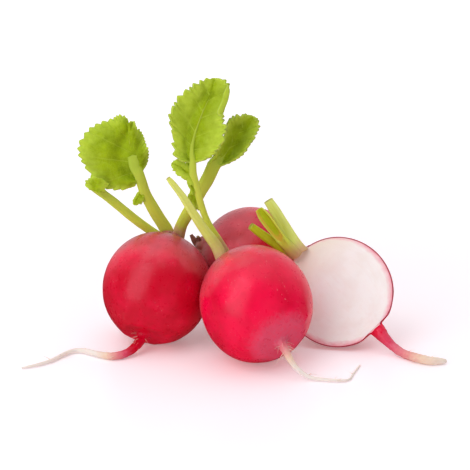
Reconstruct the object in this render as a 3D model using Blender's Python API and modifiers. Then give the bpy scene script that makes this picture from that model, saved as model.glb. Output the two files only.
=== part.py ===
"""A loose bunch of table radishes lying on a flat surface: three whole roots and one cut in half.

Every root is one solid, from its crown to the tip of its tail, and every leaf is one solid, stalk and
blade together. Lengths are in millimetres and turned into metres by MM. +X is to the right of the bunch,
-Y is its front and +Z is up; the roots rest at z = 0 on small flat spots.
"""

import math

import bmesh
import bpy
from mathutils import Euler, Matrix, Vector

MM = 0.001

# The bunch as a whole
FOOTPRINT_SHIFT = Vector((6.7, -18.6, 0.0))
JOINT_GAP = 0.35
CUT_SPAN = 90.0
FLOOR_CUT_DEPTH = 20.0

# How finely the solids are cut into faces
BULB_SIDES = 32
BULB_RINGS = 15
STALK_SIDES = 10
TAIL_BEVEL = 2
BLADE_STEPS = 34
BLADE_COLUMNS = 4

# The collar on top of a root, from which its leaves grow
COLLAR_RADIUS = 4.3
COLLAR_HEIGHT = 1.9
CROWN_ANGLE = 14.0

# The flare at the foot of a root, where it narrows into its tail
FLARE_ANGLE = 153.0
FLARE_PULL = 7.5

# Leaves
BLADE_THICKNESS = 0.7
TOOTH_DEPTH = 0.55
BOARD_LEAN = 14.0
CHANNEL_WIDTH = 0.27

# Each root: the middle of its bulb, the way its crown points, its half width, the length from the middle
# to the crown and to the foot, and its tail as points with a radius at each.
ROOTS = {
    "left": {
        "centre": (-31.0, 18.5, 16.95),
        "crown": (0.22, 0.659, 0.72),
        "half_width": 17.2,
        "to_crown": 17.6,
        "to_foot": 17.3,
        "tail": [
            ((-34.3, 9.4, 7.4), 2.0),
            ((-35.8, 5.2, 4.0), 1.6),
            ((-39.0, 0.8, 1.9), 1.3),
            ((-43.4, -1.6, 1.3), 1.2),
            ((-48.0, 0.0, 1.05), 1.0),
            ((-54.0, 3.7, 0.95), 0.85),
            ((-58.0, 2.6, 0.85), 0.72),
            ((-62.8, -4.2, 0.75), 0.62),
            ((-67.2, -7.6, 0.65), 0.5),
            ((-71.0, -9.4, 0.5), 0.3),
        ],
    },
    "front": {
        "centre": (0.0, 0.0, 17.15),
        "crown": (-0.4545, 0.793, 0.406),
        "half_width": 17.4,
        "to_crown": 19.3,
        "to_foot": 17.6,
        "tail": [
            ((6.9, -12.2, 11.2), 1.9),
            ((8.4, -15.0, 9.0), 1.35),
            ((10.1, -16.6, 6.0), 1.0),
            ((12.7, -17.6, 3.0), 0.78),
            ((16.2, -18.4, 1.1), 0.62),
            ((20.6, -19.2, 0.75), 0.5),
            ((25.2, -19.6, 0.6), 0.42),
            ((27.8, -18.2, 0.55), 0.35),
            ((29.2, -14.0, 0.5), 0.3),
            ((31.6, -7.4, 0.5), 0.28),
        ],
    },
    "back": {
        "centre": (-2.4, 38.2, 18.2),
        "crown": (-0.968, -0.03, 0.25),
        "half_width": 18.6,
        "to_crown": 15.6,
        "to_foot": 16.0,
        "tail": [
            ((9.4, 38.6, 15.9), 2.0),
            ((13.8, 39.0, 14.2), 1.6),
            ((18.0, 40.6, 9.2), 1.3),
            ((22.6, 43.0, 3.0), 1.0),
            ((28.0, 44.6, 0.95), 0.8),
            ((35.0, 43.4, 0.8), 0.6),
            ((41.6, 45.2, 0.6), 0.4),
        ],
    },
    "half": {
        "centre": (25.9, 12.7, 17.1),
        "crown": (-0.69, 0.397, 0.605),
        "half_width": 17.4,
        "to_crown": 17.4,
        "to_foot": 17.2,
        "tail": [
            ((36.4, 9.1, 8.0), 1.6),
            ((38.4, 6.6, 6.4), 2.3),
            ((40.1, 4.5, 4.8), 1.75),
            ((42.4, 2.8, 2.9), 1.42),
            ((45.6, 0.0, 1.5), 1.35),
            ((49.7, -4.0, 1.5), 1.4),
            ((53.2, -5.6, 1.35), 1.3),
            ((55.9, -5.5, 1.15), 1.1),
            ((57.6, -5.2, 1.0), 0.8),
        ],
    },
}

# The knife's plane through the half root: its outward direction, and how far along the axis it reached
# before it came out short of the tail.
HALF_FACE = Vector((-0.193, -0.907, 0.375))
HALF_CUT_FOOT = 16.9

# Leaf stalks cut short: the root, the route from the crown outwards as points with a width at each, and
# how flat and how grooved the stalk is.
STUBS = {
    "front_leaf_stub": {
        "root": "front",
        "route": [
            ((-9.1, 12.6, 28.4), 3.7),
            ((-10.6, 14.4, 31.7), 3.7),
            ((-14.2, 13.4, 37.6), 3.4),
            ((-18.1, 12.0, 43.5), 3.1),
            ((-22.1, 10.8, 49.0), 2.7),
            ((-25.3, 10.0, 53.2), 2.1),
            ((-26.7, 9.8, 55.0), 1.3),
        ],
        "flatness": 0.8,
        "groove": 0.12,
        "facing": (0.2, -0.9, 0.4),
    },
    "back_leaf_stub_upper": {
        "root": "back",
        "route": [((-16.5, 37.9, 22.0), 3.0), ((-19.2, 37.2, 24.6), 2.8), ((-20.3, 36.2, 27.9), 2.0)],
        "flatness": 0.8,
        "groove": 0.1,
        "facing": (-0.6, -0.6, 0.4),
    },
    "back_leaf_stub_lower": {
        "root": "back",
        "route": [((-16.8, 40.6, 21.4), 3.0), ((-20.4, 42.2, 23.0), 2.7), ((-23.0, 43.6, 25.6), 1.9)],
        "flatness": 0.8,
        "groove": 0.1,
        "facing": (-0.6, -0.6, 0.4),
    },
    "half_leaf_stub_long": {
        "root": "half",
        "route": [
            ((14.1, 19.9, 28.0), 4.0),
            ((11.7, 20.8, 31.6), 3.9),
            ((8.9, 21.6, 36.3), 3.7),
            ((5.8, 22.2, 41.4), 3.5),
            ((4.0, 22.4, 44.2), 3.1),
        ],
        "flatness": 0.7,
        "groove": 0.1,
        "facing": (-0.3, -0.9, 0.2),
    },
    "half_leaf_stub_hollow": {
        "root": "half",
        "route": [
            ((12.9, 18.6, 27.4), 3.2),
            ((9.6, 17.0, 31.2), 3.3),
            ((5.2, 16.6, 36.9), 3.4),
            ((1.6, 16.8, 42.4), 3.2),
        ],
        "flatness": 0.8,
        "groove": 0.4,
        "facing": (-0.45, -0.75, 0.3),
    },
    "half_leaf_stub_slim": {
        "root": "half",
        "route": [
            ((11.9, 21.0, 26.4), 2.6),
            ((7.4, 20.2, 29.8), 2.5),
            ((2.8, 18.6, 33.6), 2.4),
            ((-1.5, 17.0, 37.4), 2.1),
        ],
        "flatness": 0.85,
        "groove": 0.15,
        "facing": (-0.3, -0.8, 0.5),
    },
}

# Leaves: each has a stalk, as the stubs have, which ends where the blade starts and then runs on as the
# blade's rib. Blades are drawn on an upright board whose origin is that end: x to the right, y up and z
# to the front. A blade is its midrib and its left and right outline, from the stalk to the tip. fold is
# how steeply each side rises to the front, bulge how far it swells between rib and edge, wave how far its
# edge goes in and out, and depth how far in front of the board it starts.
LEAVES = {
    "left_leaf_short": {
        "root": "left",
        "route": [
            ((-30.8, 30.4, 30.0), 2.6),
            ((-33.5, 30.2, 31.8), 2.8),
            ((-38.9, 29.2, 36.3), 2.9),
            ((-45.7, 27.6, 42.8), 2.8),
            ((-51.7, 25.6, 48.3), 2.6),
        ],
        "rib_widths": [2.0],
        "facing": (-0.1, -0.9, 0.4),
        "flatness": 0.85,
        "groove": 0.1,
        "blades": [
            {
                "midrib": [(0.0, 0.0), (-0.9, 1.3), (-1.6, 2.4)],
                "left": [(-0.8, -0.9), (-2.0, 0.0), (-2.7, 1.4), (-1.6, 2.4)],
                "right": [(1.3, 0.0), (2.3, 1.0), (1.4, 2.4), (-0.3, 2.9), (-1.6, 2.4)],
                "fold": (10.0, 20.0),
                "bulge": 0.05,
                "wave": 0.2,
                "teeth": 3,
            }
        ],
    },
    "left_leaf_round": {
        "root": "left",
        "route": [
            ((-27.3, 30.0, 29.4), 3.8),
            ((-28.7, 30.0, 32.6), 4.1),
            ((-31.9, 29.0, 38.4), 3.9),
            ((-34.8, 27.6, 44.8), 3.5),
            ((-36.5, 26.4, 51.0), 3.3),
        ],
        "rib_widths": [2.9, 1.9, 1.2, 0.9],
        "facing": (0.1, -0.95, 0.2),
        "flatness": 0.75,
        "groove": 0.0,
        "blades": [
            {
                "midrib": [(0.0, 0.0), (-0.8, 3.8), (-1.5, 8.5), (-3.3, 12.9), (-4.0, 16.4), (-4.5, 18.2)],
                "left": [
                    (-1.8, -2.3),
                    (-6.8, -4.0),
                    (-12.8, -2.6),
                    (-16.6, 1.2),
                    (-19.5, 7.2),
                    (-18.5, 11.9),
                    (-15.2, 15.7),
                    (-10.6, 17.9),
                    (-7.1, 18.9),
                    (-4.5, 18.2),
                ],
                "right": [(1.3, 1.9), (2.1, 5.0), (2.4, 8.5), (0.4, 12.3), (-1.8, 16.0), (-4.5, 18.2)],
                "fold": (-16.0, -38.0),
                "bulge": 0.16,
                "wave": 0.7,
                "teeth": 17,
            },
            {
                "midrib": [(1.5, -4.8), (0.0, -6.2), (-0.8, -7.7)],
                "left": [(1.1, -3.8), (-1.0, -5.0), (-1.8, -6.8), (-0.8, -7.7)],
                "right": [(2.2, -6.2), (1.6, -7.6), (0.4, -8.4), (-0.8, -7.7)],
                "fold": (0.0, 0.0),
                "bulge": 0.05,
                "wave": 0.2,
                "teeth": 3,
                "depth": -2.2,
            },
        ],
    },
    "left_leaf_spoon": {
        "root": "left",
        "route": [
            ((-24.3, 30.0, 28.9), 3.5),
            ((-23.1, 30.0, 33.4), 3.8),
            ((-21.4, 29.4, 38.0), 4.0),
            ((-18.3, 28.6, 43.8), 4.0),
            ((-15.1, 27.8, 49.7), 4.2),
            ((-13.0, 27.2, 54.4), 4.4),
        ],
        "rib_widths": [3.4, 2.2, 1.4, 1.0],
        "facing": (0.25, -0.9, 0.3),
        "flatness": 0.62,
        "groove": 0.16,
        "blades": [
            {
                "midrib": [(0.0, 0.0), (2.8, 3.1), (5.4, 6.6), (7.7, 10.1), (10.1, 12.9), (12.3, 15.4)],
                "left": [
                    (-2.1, 0.4),
                    (0.7, 3.8),
                    (2.2, 6.6),
                    (3.5, 9.7),
                    (4.4, 12.9),
                    (5.7, 15.0),
                    (9.1, 15.7),
                    (12.3, 15.4),
                ],
                "right": [
                    (2.1, -0.3),
                    (5.7, 1.3),
                    (8.5, 3.2),
                    (10.7, 6.0),
                    (12.3, 8.6),
                    (13.5, 11.3),
                    (13.8, 13.8),
                    (12.3, 15.4),
                ],
                "fold": (40.0, 10.0),
                "bulge": -0.25,
                "wave": 0.35,
                "teeth": 13,
            },
            {
                "midrib": [(-4.2, -8.4), (-6.2, -9.0), (-7.8, -9.8)],
                "left": [(-3.8, -7.2), (-5.8, -7.4), (-7.5, -8.2), (-7.8, -9.8)],
                "right": [(-5.0, -10.0), (-6.2, -11.0), (-7.5, -11.1), (-7.8, -9.8)],
                "fold": (0.0, 0.0),
                "bulge": 0.05,
                "wave": 0.2,
                "teeth": 3,
                "depth": -3.6,
            },
        ],
    },
    "front_leaf_tall": {
        "root": "front",
        "route": [
            ((-7.4, 17.4, 26.4), 2.4),
            ((-9.7, 18.4, 31.2), 2.1),
            ((-13.4, 18.3, 37.3), 1.8),
            ((-15.8, 19.0, 42.7), 1.8),
            ((-17.6, 19.3, 48.5), 2.0),
            ((-18.9, 19.7, 53.5), 2.2),
            ((-19.5, 20.0, 57.0), 2.2),
        ],
        "rib_widths": [1.6, 1.3, 1.1, 0.9],
        "facing": (0.0, -1.0, 0.2),
        "flatness": 0.8,
        "groove": 0.0,
        "blades": [
            {
                "midrib": [(0.0, 0.0), (-0.3, 4.0), (0.6, 9.0), (3.1, 15.9), (5.3, 21.0), (6.8, 26.3)],
                "left": [
                    (-0.9, 0.3),
                    (-4.0, 0.9),
                    (-5.8, 4.0),
                    (-6.1, 8.1),
                    (-6.9, 12.7),
                    (-6.5, 16.4),
                    (-5.2, 18.5),
                    (-3.0, 21.6),
                    (-0.5, 23.0),
                    (1.9, 24.7),
                    (4.4, 25.9),
                    (6.8, 26.3),
                ],
                "right": [
                    (0.6, 0.1),
                    (3.4, 1.0),
                    (5.9, 2.2),
                    (7.8, 4.4),
                    (9.5, 8.1),
                    (10.3, 10.8),
                    (9.2, 13.3),
                    (9.6, 16.1),
                    (10.9, 19.7),
                    (11.3, 23.1),
                    (10.0, 25.3),
                    (6.8, 26.3),
                ],
                "fold": (14.0, 24.0),
                "bulge": -0.12,
                "wave": 0.6,
                "teeth": 17,
            },
            {
                "midrib": [(0.0, -4.0), (-2.2, -2.8), (-4.7, -0.9), (-6.8, 0.0)],
                "left": [(-0.1, -6.0), (-2.2, -5.6), (-4.7, -3.7), (-6.5, -1.6), (-6.8, 0.0)],
                "right": [(-0.3, -1.3), (-2.2, -0.2), (-4.0, 0.6), (-5.6, 0.6), (-6.8, 0.0)],
                "fold": (0.0, 0.0),
                "bulge": 0.1,
                "wave": 0.3,
                "teeth": 5,
                "depth": -0.7,
            },
        ],
    },
}

SKIN_COLOUR = (0.62, 0.01, 0.03, 1.0)
FLESH_COLOUR = (0.86, 0.78, 0.72, 1.0)
STALK_COLOUR = (0.50, 0.58, 0.08, 1.0)
LEAF_COLOUR = (0.28, 0.45, 0.03, 1.0)


def start_empty():
    """Removes what the scene holds, and makes the collections for the bunch and for its helper shapes."""
    for obj in list(bpy.data.objects):
        bpy.data.objects.remove(obj)
    scene = bpy.context.scene.collection
    made = []
    for name in ("bunch_of_radishes", "cutters"):
        collection = bpy.data.collections.new(name)
        scene.children.link(collection)
        made.append(collection)
    return made


def material(name, colour, roughness):
    made = bpy.data.materials.new(name)
    made.use_nodes = True
    shader = made.node_tree.nodes["Principled BSDF"]
    shader.inputs["Base Color"].default_value = colour
    shader.inputs["Roughness"].default_value = roughness
    shader.inputs["Metallic"].default_value = 0.0
    return made


def new_object(name, mesh, collection):
    obj = bpy.data.objects.new(name, mesh)
    collection.objects.link(obj)
    return obj


def hide_helper(obj):
    obj.hide_render = True
    obj.display_type = "WIRE"


def mesh_from(name, points, faces, triangles=False):
    """A mesh in metres from points in millimetres. With triangles, its faces are split alike on both sides."""
    mesh = bpy.data.meshes.new(name)
    bm = bmesh.new()
    verts = [bm.verts.new(Vector(p) * MM) for p in points]
    for face in faces:
        bm.faces.new([verts[i] for i in face])
    bmesh.ops.remove_doubles(bm, verts=bm.verts, dist=0.02 * MM)
    if triangles:
        bmesh.ops.triangulate(bm, faces=bm.faces)
    bmesh.ops.recalc_face_normals(bm, faces=bm.faces)
    bm.to_mesh(mesh)
    bm.free()
    return mesh


def spline(points, share):
    """The point at this share, 0 to 1, of a smooth curve through the points (Catmull-Rom)."""
    place = min(max(share, 0.0), 1.0) * (len(points) - 1)
    i = min(int(place), len(points) - 2)
    t = place - i
    p1, p2 = points[i], points[i + 1]
    p0 = points[i - 1] if i > 0 else 2 * p1 - p2
    p3 = points[i + 2] if i + 2 < len(points) else 2 * p2 - p1
    return 0.5 * (2 * p1 + (p2 - p0) * t + (2 * p0 - 5 * p1 + 4 * p2 - p3) * t**2 + (3 * (p1 - p2) + p3 - p0) * t**3)


def placed(point):
    """A point of the bunch, in millimetres, moved so that the footprint's middle is the origin."""
    return Vector(point) + FOOTPRINT_SHIFT


def crown_turn(root):
    """The rotation that takes +Z to the way the root's crown points."""
    return Vector(root["crown"]).normalized().to_track_quat("Z", "Y")


def bulb_profile(root, grown=0.0):
    """The half outline of a root from its collar to its flare, as (radius, height), top to bottom."""
    width, top, foot = root["half_width"] + grown, root["to_crown"] + grown, root["to_foot"] + grown
    first, last = math.radians(CROWN_ANGLE), math.radians(FLARE_ANGLE)

    def body(angle):
        return Vector((width * math.sin(angle), (top if angle < math.pi / 2 else foot) * math.cos(angle)))

    collar = COLLAR_RADIUS + grown
    shoulder = body(first).y
    profile = [
        Vector((0.0, shoulder + COLLAR_HEIGHT)),
        Vector((0.62 * collar, shoulder + 0.95 * COLLAR_HEIGHT)),
        Vector((0.88 * collar, shoulder + 0.5 * COLLAR_HEIGHT)),
    ]
    profile += [body(first + (last - first) * i / BULB_RINGS) for i in range(BULB_RINGS + 1)]
    start, heading = profile[-1], (body(last) - body(last - 0.01)).normalized()
    tail_radius = root["tail"][1][1] + grown
    end = Vector((tail_radius, -foot - 1.2))
    for t in (0.25, 0.5, 0.75, 1.0):
        ease = t * t * (3 - 2 * t)
        from_start = start + heading * FLARE_PULL * t
        from_end = end + Vector((0.0, FLARE_PULL * (1 - t)))
        profile.append(from_start.lerp(from_end, ease))
    profile.append(Vector((0.0, end.y)))
    return profile


def make_bulb(name, root, collection, grown=0.0):
    """The turned body of a root. Grown a little, it is the cutter that keeps leaf stalks clear of it."""
    profile = bulb_profile(root, grown)
    mesh = bpy.data.meshes.new(name)
    points = [(p.x * MM, 0.0, p.y * MM) for p in profile]
    mesh.from_pydata(points, [(i, i + 1) for i in range(len(points) - 1)], [])
    bulb = new_object(name, mesh, collection)
    bulb.location = placed(root["centre"]) * MM
    bulb.rotation_mode = "QUATERNION"
    bulb.rotation_quaternion = crown_turn(root)
    turn = bulb.modifiers.new("turned", "SCREW")
    turn.steps = turn.render_steps = BULB_SIDES
    turn.use_merge_vertices = True
    turn.merge_threshold = 0.00002
    turn.use_smooth_shade = True
    return bulb


def make_tail(name, root, collection):
    """The thin tail as a tube along its route, made a closed mesh so that it can be joined."""
    route = [placed(p) * MM for p, _ in root["tail"]]
    radii = [Vector((r, 0.0)) for _, r in root["tail"]]
    curve = bpy.data.curves.new(name, "CURVE")
    curve.dimensions = "3D"
    curve.bevel_depth = MM
    curve.bevel_resolution = TAIL_BEVEL
    curve.use_fill_caps = True
    steps = 2 * (len(route) - 1)
    line = curve.splines.new("POLY")
    line.points.add(steps)
    for i, point in enumerate(line.points):
        point.co = (*spline(route, i / steps), 1.0)
        point.radius = spline(radii, i / steps).x
    guide = new_object(name + "_guide", curve, collection)
    bpy.context.view_layer.update()
    evaluated = guide.evaluated_get(bpy.context.evaluated_depsgraph_get())
    mesh = bpy.data.meshes.new_from_object(evaluated)
    bpy.data.objects.remove(guide)
    bm = bmesh.new()
    bm.from_mesh(mesh)
    bmesh.ops.remove_doubles(bm, verts=bm.verts, dist=0.01 * MM)
    bm.to_mesh(mesh)
    bm.free()
    tail = new_object(name, mesh, collection)
    hide_helper(tail)
    return tail


def box_cutter(name, size, matrix, collection):
    """A box of this size, in millimetres, whose top face is centred on the matrix's origin."""
    mesh = bpy.data.meshes.new(name)
    bm = bmesh.new()
    bmesh.ops.create_cube(bm, size=1.0)
    bmesh.ops.transform(bm, matrix=Matrix.Translation((0, 0, -0.5)), verts=bm.verts)
    bmesh.ops.scale(bm, vec=Vector(size) * MM, verts=bm.verts)
    bm.to_mesh(mesh)
    bm.free()
    cutter = new_object(name, mesh, collection)
    cutter.matrix_world = matrix
    hide_helper(cutter)
    return cutter


def boolean(obj, other, operation):
    step = obj.modifiers.new(operation.lower() + "_" + other.name, "BOOLEAN")
    step.operation = operation
    step.object = other
    step.solver = "EXACT"


def half_cutter(root, cutters):
    """The knife's cut: a block in front of the face, from past the crown to just short of the tail."""
    axis = Vector(root["crown"]).normalized()
    normal = (HALF_FACE - axis * HALF_FACE.dot(axis)).normalized()
    across = axis.cross(normal)
    turn = Matrix((across, axis, -normal)).transposed().to_4x4()
    middle = placed(root["centre"]) + axis * (CUT_SPAN / 2 - HALF_CUT_FOOT)
    return box_cutter("knife_cut", (CUT_SPAN, CUT_SPAN, CUT_SPAN), Matrix.Translation(middle * MM) @ turn, cutters)


def make_roots(parts, cutters, skin, flesh):
    """The four roots, each a turned body with its tail joined on and a flat spot where it rests."""
    floor = box_cutter("floor_cut", (3 * CUT_SPAN, 3 * CUT_SPAN, FLOOR_CUT_DEPTH), Matrix.Identity(4), cutters)
    for name, root in ROOTS.items():
        bulb = make_bulb(name + "_root", root, parts)
        bulb.data.materials.append(skin)
        if name == "half":
            knife = half_cutter(root, cutters)
            knife.data.materials.append(flesh)
            boolean(bulb, knife, "DIFFERENCE")
        boolean(bulb, make_tail(name + "_tail", root, cutters), "UNION")
        boolean(bulb, floor, "DIFFERENCE")


def stalk_ring(width, flatness, groove):
    """The cross-section of a stalk: an oval with a channel sunk into its upper side."""
    ring = []
    for i in range(STALK_SIDES):
        angle = 2 * math.pi * i / STALK_SIDES
        x, y = 0.5 * width * math.cos(angle), 0.5 * width * flatness * math.sin(angle)
        if y > 0:
            y -= width * groove * math.exp(-((x / (CHANNEL_WIDTH * width)) ** 2))
        ring.append((x, y))
    return ring


def stalk_mesh(name, route, widths, shape):
    """A closed stalk along a route, in millimetres. Its channel lies on the side that faces shape's facing."""
    steps = 2 * (len(route) - 1)
    line = [spline(route, i / steps) for i in range(steps + 1)]
    sizes = [spline([Vector((w, 0.0)) for w in widths], i / steps).x for i in range(steps + 1)]
    points, faces = [], []
    for i, centre in enumerate(line):
        along = (line[min(i + 1, steps)] - line[max(i - 1, 0)]).normalized()
        facing = Vector(shape["facing"])
        upper = (facing - along * facing.dot(along)).normalized()
        side = along.cross(upper)
        points += [centre + side * x + upper * y for x, y in stalk_ring(sizes[i], shape["flatness"], shape["groove"])]
    for i in range(steps):
        for j in range(STALK_SIDES):
            k = (j + 1) % STALK_SIDES
            a, b = i * STALK_SIDES, (i + 1) * STALK_SIDES
            faces.append((a + j, a + k, b + k, b + j))
    for ring, tip in ((0, line[0]), (steps, line[-1])):
        points.append(tip)
        middle = len(points) - 1
        for j in range(STALK_SIDES):
            faces.append((ring * STALK_SIDES + j, ring * STALK_SIDES + (j + 1) % STALK_SIDES, middle))
    return mesh_from(name, points, faces)


def board_matrix(origin):
    """Where a leaf's drawing board stands: upright, facing the front and leaning back a little."""
    return Matrix.Translation(placed(origin)) @ Euler((math.radians(90.0 - BOARD_LEAN), 0.0, 0.0)).to_matrix().to_4x4()


def blade_sheet(name, blade):
    """A leaf blade as an open sheet on its board: toothed, folded along its rib, bulging and waved."""
    midrib = [Vector(p) for p in blade["midrib"]]
    points, faces = [], []
    columns = 2 * BLADE_COLUMNS + 1
    steps = BLADE_STEPS if blade["teeth"] > 6 else 2 * blade["teeth"]
    for i in range(steps + 1):
        t = i / steps
        rib = spline(midrib, t**1.25)
        for j in range(columns):
            s = abs(j - BLADE_COLUMNS) / BLADE_COLUMNS
            side = 0 if j < BLADE_COLUMNS else 1
            outline = [Vector(p) for p in blade[("left", "right")[side]]]
            reach = spline(outline, t) - rib
            span = reach.length
            tooth = TOOTH_DEPTH * s**4 * (1 if i % 2 else -0.35) * min(1.0, span / 3) * (0 < i < steps)
            flat = rib + reach * s + (reach / span * tooth if span > 0.01 else reach * 0)
            rise = math.tan(math.radians(blade["fold"][side])) * s * span
            swell = blade["bulge"] * span * math.sin(math.pi * s)
            ripple = blade["wave"] * s * s * math.sin(2 * math.pi * (3.0 * t + 0.3 * side))
            points.append((flat.x, flat.y, blade.get("depth", 0.0) + rise + swell + ripple * min(1.0, span / 3)))
    for i in range(steps):
        for j in range(columns - 1):
            a, b = i * columns + j, (i + 1) * columns + j
            faces.append((a, a + 1, b + 1, b))
    return mesh_from(name, points, faces, triangles=True)


def make_leaf(name, leaf, parts, cutters, look):
    """A leaf: its stalk runs on as the midrib of its first blade, and every blade is joined to it."""
    board = board_matrix(leaf["route"][-1][0])
    to_board = board.inverted()
    first = leaf["blades"][0]["midrib"]
    route = [to_board @ placed(p) for p, _ in leaf["route"]]
    route += [Vector((x, y, 0.0)) for x, y in first[1:-1]]
    widths = [w for _, w in leaf["route"]] + leaf["rib_widths"]
    shape = dict(leaf, facing=to_board.to_3x3() @ Vector(leaf["facing"]))
    obj = new_object(name, stalk_mesh(name, route, widths, shape), parts)
    obj.matrix_world = Matrix.Translation(board.translation * MM) @ board.to_3x3().to_4x4()
    obj.data.materials.append(look)
    for i, blade in enumerate(leaf["blades"]):
        helper = new_object(f"{name}_blade_{i}", blade_sheet(f"{name}_blade_{i}", blade), cutters)
        helper.matrix_world = obj.matrix_world
        thick = helper.modifiers.new("thickness", "SOLIDIFY")
        thick.thickness = BLADE_THICKNESS * MM
        thick.offset = 0.0
        hide_helper(helper)
        boolean(obj, helper, "UNION")
    return obj


def make_stub(name, stub, parts, look):
    """A leaf stalk that was cut short."""
    route = [Vector(p) for p, _ in stub["route"]]
    base = route[0]
    mesh = stalk_mesh(name, [p - base for p in route], [w for _, w in stub["route"]], stub)
    obj = new_object(name, mesh, parts)
    obj.location = placed(base) * MM
    obj.data.materials.append(look)
    return obj


def make_bunch():
    parts, cutters = start_empty()
    skin = material("radish_skin", SKIN_COLOUR, 0.38)
    flesh = material("radish_flesh", FLESH_COLOUR, 0.5)
    stalk = material("leaf_stalk", STALK_COLOUR, 0.5)
    green = material("leaf_green", LEAF_COLOUR, 0.55)
    make_roots(parts, cutters, skin, flesh)
    clearances = {}
    for name, root in ROOTS.items():
        clearances[name] = make_bulb(name + "_clearance", root, cutters, JOINT_GAP)
        hide_helper(clearances[name])
    for name, stub in STUBS.items():
        boolean(make_stub(name, stub, parts, stalk), clearances[stub["root"]], "DIFFERENCE")
    for name, leaf in LEAVES.items():
        boolean(make_leaf(name, leaf, parts, cutters, green), clearances[leaf["root"]], "DIFFERENCE")


make_bunch()
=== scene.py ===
import math
import random

import bpy
from mathutils import Euler, Matrix, Vector, noise


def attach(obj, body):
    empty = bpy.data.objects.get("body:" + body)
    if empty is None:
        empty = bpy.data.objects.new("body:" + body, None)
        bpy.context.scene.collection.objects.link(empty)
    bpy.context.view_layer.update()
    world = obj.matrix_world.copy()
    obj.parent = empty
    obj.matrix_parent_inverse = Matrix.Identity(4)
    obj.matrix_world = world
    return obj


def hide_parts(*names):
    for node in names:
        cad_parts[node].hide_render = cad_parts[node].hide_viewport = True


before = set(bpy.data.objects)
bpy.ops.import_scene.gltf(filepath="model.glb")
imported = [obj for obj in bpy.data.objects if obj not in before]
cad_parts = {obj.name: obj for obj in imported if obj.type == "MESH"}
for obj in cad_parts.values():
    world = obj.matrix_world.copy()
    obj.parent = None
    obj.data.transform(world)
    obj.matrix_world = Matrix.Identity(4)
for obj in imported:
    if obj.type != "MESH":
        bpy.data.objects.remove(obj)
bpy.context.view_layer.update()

MM = 0.001

# The bunch as a whole
FOOTPRINT_SHIFT = Vector((6.7, -18.6, 0.0))
SEED = 7

# How finely the pieces are cut into faces
ROOT_SIDES = 96
COLLAR_STEPS = 14
BODY_STEPS = 110
FLARE_STEPS = 30
TAIL_STEP = 0.45
STALK_SIDES = 36
STALK_STEP = 0.4
BLADE_STEPS = 12
BLADE_COLUMNS = 26
HAIR_SIDES = 6
HAIR_STEPS = 8

# The collar on top of a root, from which its leaves grow
COLLAR_RADIUS = 4.3
CROWN_ANGLE = 14.0

# The flare at the foot of a root, where it narrows into its tail
FLARE_ANGLE = 153.0
FLARE_PULL = 7.5

# Unevenness of a root's skin. Depth of folds and height of ridges and knots are shares of the radius.
LUMP_HEIGHT = 0.26
LUMP_SCALE = 0.07
DIMPLE_HEIGHT = 0.05
DIMPLE_SCALE = 0.35
COLLAR_FOLDS = 5
COLLAR_FOLD_DEPTH = 0.16
FOOT_RIDGES = 9
FOOT_RIDGE_HEIGHT = 0.035
TAIL_KNOT_HEIGHT = 0.12

# Root hairs: the shortest and longest, the thinnest and thickest, and the tones of their pale colour
NECK_HAIR_LENGTH = (1.2, 3.2)
TAIL_HAIR_LENGTH = (1.5, 4.0)
HAIR_WIDTH = (0.13, 0.22)
HAIR_TONES = (1.4, 30.0, 0.0)

# Stalks. Their ridges are counted, and every other number here is a share of the stalk's own size.
CHANNEL_WIDTH = 0.27
HOLLOW_WIDTH = 0.39
STALK_RIDGES = 9
STALK_RIDGE_HEIGHT = 0.018
STRAP_TAPER = 0.016
CUT_END_SINK = 0.25

# Blades. TOOTH_PEAK is where along itself a tooth peaks. CURL_SHARE is the share of a side a curl covers.
BLADE_THICKNESS = 0.6
VEIN_HEIGHT = 0.3
VEIN_WIDTH = 0.3
PUFF_HEIGHT = 0.32
CRINKLE_HEIGHT = 0.1
TOOTH_DEPTH = 0.75
TOOTH_PEAK = 0.62
VALLEY_WIDTH = 0.16
NO_VALLEY = ((0.5, 0.0), (0.5, 0.0))
CURL_SHARE = 0.26
CURL_GAP = 0.8
FULL_RELIEF_SPAN = 3
BOARD_LEAN = 14.0
BLADE_SPOTS_APART = 40.0

# The third tone of a leaf's points says which part of it they are on
ON_STALK = 0.0
ON_TOP = 1.0
ON_UNDERSIDE = 2.0

# The camera, where the photo was taken from
CAMERA_PLACE = (0.00028, -0.48902, 0.18818)
CAMERA_TILT = 72.5
CAMERA_LENS = 125.18
CAMERA_SENSOR = 36.0

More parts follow.
